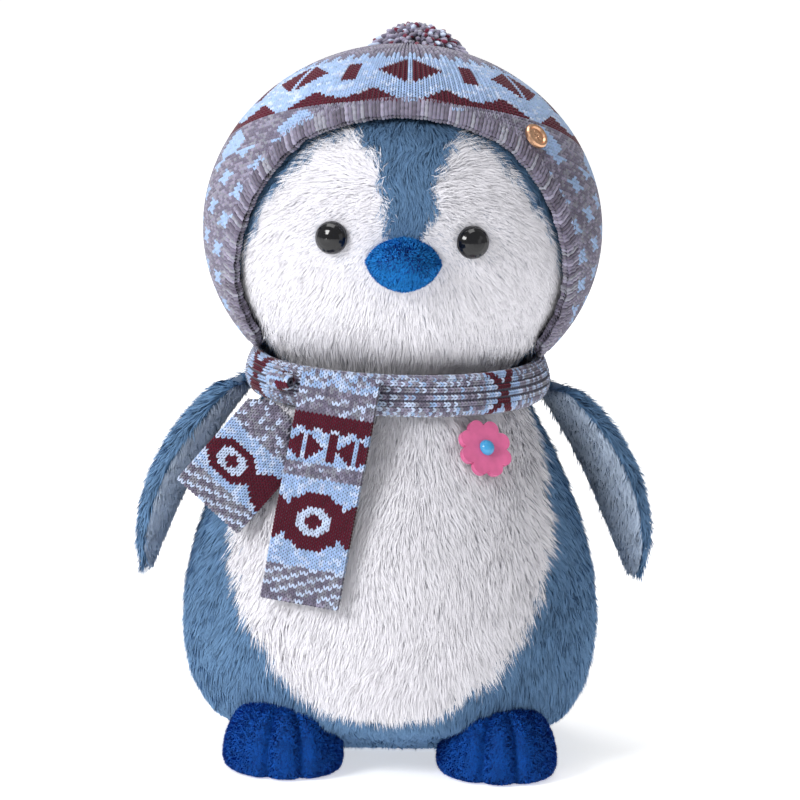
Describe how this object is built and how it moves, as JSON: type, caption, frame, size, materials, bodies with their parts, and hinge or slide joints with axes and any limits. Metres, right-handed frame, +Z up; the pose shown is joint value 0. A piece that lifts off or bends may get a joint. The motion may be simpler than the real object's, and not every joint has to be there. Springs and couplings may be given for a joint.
{
  "type": "plush penguin",
  "caption": "Seated-base plush penguin in a knitted ear-flap hat and long scarf, with a turning head, swinging wings and loose scarf tails.",
  "frame": {"origin": "centre of the flat base's underside, on the surface that the toy stands on", "axes": "+Z up, the face looks along -Y, +X to the viewer's right"},
  "size_m": [0.232, 0.1924, 0.3288],
  "materials": {
    "blue_fur": "long soft plush pile",
    "white_fur": "long soft plush pile",
    "wing_lining": "short plush pile",
    "bright_blue_plush": "short velvety pile",
    "stuffing": "loose fibre",
    "eye_gloss": "polished",
    "washer": "matte",
    "hat_knit": "patterned plain knit",
    "knit_edging": "ribbed knit",
    "pompom_yarn": "cut yarn",
    "scarf_knit": "patterned plain knit",
    "rose_gold": "satin with a raised rim",
    "pink_gloss": "moulded gloss",
    "flower_centre": "moulded gloss"
  },
  "bodies": {
    "torso": {"base_panel": "blue_fur", "back_panel": "blue_fur", "belly_panel": "white_fur", "body_stuffing": "stuffing", "pellet_bag": "stuffing", "left_foot_cover": "bright_blue_plush", "left_foot_sole": "bright_blue_plush", "left_foot_stuffing": "stuffing", "right_foot_cover": "bright_blue_plush", "right_foot_sole": "bright_blue_plush", "right_foot_stuffing": "stuffing", "scarf_wrap": "scarf_knit", "scarf_loop": "scarf_knit", "flower_petals": "pink_gloss", "flower_rivet": "flower_centre", "flower_washer": "washer"},
    "head": {"head_back_panel": "blue_fur", "forehead_panel": "blue_fur", "left_face_panel": "white_fur", "right_face_panel": "white_fur", "head_stuffing": "stuffing", "left_eye": "eye_gloss", "left_eye_washer": "washer", "right_eye": "eye_gloss", "right_eye_washer": "washer", "beak_cover": "bright_blue_plush", "beak_stuffing": "stuffing", "hat_shell": "hat_knit", "hat_edging": "knit_edging", "hat_button": "rose_gold", "pompom": "pompom_yarn", "pompom_tie": "pompom_yarn"},
    "left_wing": {"left_wing_outer": "blue_fur", "left_wing_lining": "wing_lining", "left_wing_stuffing": "stuffing"},
    "right_wing": {"right_wing_outer": "blue_fur", "right_wing_lining": "wing_lining", "right_wing_stuffing": "stuffing"},
    "front_tail": {"scarf_front_tail": "scarf_knit"},
    "back_tail": {"scarf_back_tail": "scarf_knit"}
  },
  "joints": [
    {"name": "head_turn", "type": "hinge", "parent": "torso", "child": "head", "pos_m": [0, 0, 0.1695], "axis": [0, 0, 1], "range_deg": [-20, 20], "stiffness_Nm_per_rad": 0.1},
    {"name": "left_wing_swing", "type": "hinge", "parent": "torso", "child": "left_wing", "pos_m": [-0.0735, 0, 0.162], "axis": [0, 1, 0], "range_deg": [0, 75], "stiffness_Nm_per_rad": 0.03},
    {"name": "right_wing_swing", "type": "hinge", "parent": "torso", "child": "right_wing", "pos_m": [0.0735, 0, 0.162], "axis": [0, -1, 0], "range_deg": [0, 75], "stiffness_Nm_per_rad": 0.03},
    {"name": "front_tail_swing", "type": "hinge", "parent": "torso", "child": "front_tail", "pos_m": [-0.02937, -0.06299, 0.18], "axis": [-0.9041, 0.4216, 0.0698], "range_deg": [0, 60]},
    {"name": "back_tail_swing", "type": "hinge", "parent": "torso", "child": "back_tail", "pos_m": [-0.05264, -0.05108, 0.159], "axis": [-0.9397, 0.342, 0], "range_deg": [0, 45]}
  ]
}
